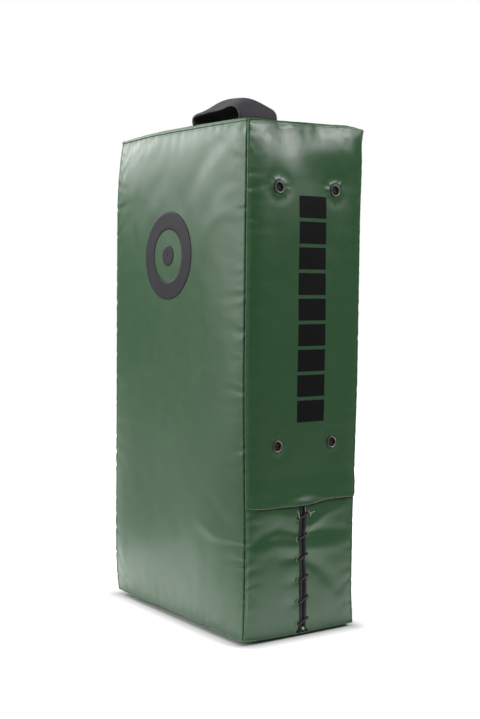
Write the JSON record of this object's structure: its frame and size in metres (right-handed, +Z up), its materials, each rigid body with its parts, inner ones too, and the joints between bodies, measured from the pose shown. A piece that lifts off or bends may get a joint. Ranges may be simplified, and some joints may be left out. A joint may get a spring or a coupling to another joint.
{
  "type": "kick pad",
  "caption": "Tall rectangular striking shield of layered foam in a sewn vinyl cover, with a laced side closure, mesh vents, a carrying handle on top and forearm loops and a grip on the back.",
  "frame": {"origin": "centre of the flat patch of the base, on the floor that the pad stands on", "axes": "+Z up along the pad's height; -Y is the normal of the striking face; +X is the normal of the laced side with the vents; +Y points to the holder"},
  "size_m": [0.3792, 0.3039, 0.8032],
  "materials": {
    "cover_vinyl": "satin",
    "black_binding": "satin",
    "lace_cord": "matte",
    "vent_metal": "satin",
    "vent_mesh": "matte",
    "firm_foam": "matte",
    "soft_foam": "matte",
    "strap_webbing": "matte"
  },
  "bodies": {
    "pad": {"striking_panel": "cover_vinyl", "back_panel": "cover_vinyl", "plain_side_panel": "cover_vinyl", "top_panel": "cover_vinyl", "base_panel": "cover_vinyl", "laced_side_upper_panel": "cover_vinyl", "laced_side_front_half": "cover_vinyl", "laced_side_back_half": "cover_vinyl", "slot_facing_front": "black_binding", "slot_facing_back": "black_binding", "slot_tongue": "black_binding", "lace": "lace_cord", "vent_eyelet_lower_front": "vent_metal", "vent_eyelet_lower_back": "vent_metal", "vent_eyelet_upper_front": "vent_metal", "vent_eyelet_upper_back": "vent_metal", "vent_washer_lower_front": "vent_metal", "vent_washer_lower_back": "vent_metal", "vent_washer_upper_front": "vent_metal", "vent_washer_upper_back": "vent_metal", "vent_screen_lower_front": "vent_mesh", "vent_screen_lower_back": "vent_mesh", "vent_screen_upper_front": "vent_mesh", "vent_screen_upper_back": "vent_mesh", "striking_foam": "firm_foam", "core_foam": "soft_foam", "backing_foam": "firm_foam", "top_handle_right_foot": "strap_webbing", "top_handle_left_foot": "strap_webbing", "lower_arm_loop_right_foot": "strap_webbing", "lower_arm_loop_left_foot": "strap_webbing", "upper_arm_loop_right_foot": "strap_webbing", "upper_arm_loop_left_foot": "strap_webbing", "hand_grip_right_foot": "strap_webbing", "hand_grip_left_foot": "strap_webbing"},
    "top_handle": {"top_handle": "strap_webbing"},
    "lower_arm_loop": {"lower_arm_loop": "strap_webbing"},
    "upper_arm_loop": {"upper_arm_loop": "strap_webbing"},
    "hand_grip": {"hand_grip": "strap_webbing"}
  },
  "joints": [
    {"name": "top_handle_lean", "type": "hinge", "parent": "pad", "child": "top_handle", "pos_m": [0, 0, 0.75673], "axis": [1, 0, 0], "range_deg": [-12, 12], "stiffness_Nm_per_rad": 0.4},
    {"name": "lower_arm_loop_lean", "type": "hinge", "parent": "pad", "child": "lower_arm_loop", "pos_m": [0, 0.11784, 0.235], "axis": [1, 0, 0], "range_deg": [-12, 12], "stiffness_Nm_per_rad": 0.4},
    {"name": "upper_arm_loop_lean", "type": "hinge", "parent": "pad", "child": "upper_arm_loop", "pos_m": [0, 0.11792, 0.425], "axis": [1, 0, 0], "range_deg": [-12, 12], "stiffness_Nm_per_rad": 0.4},
    {"name": "hand_grip_lean", "type": "hinge", "parent": "pad", "child": "hand_grip", "pos_m": [0, 0.11738, 0.585], "axis": [1, 0, 0], "range_deg": [-12, 12], "stiffness_Nm_per_rad": 0.4}
  ]
}
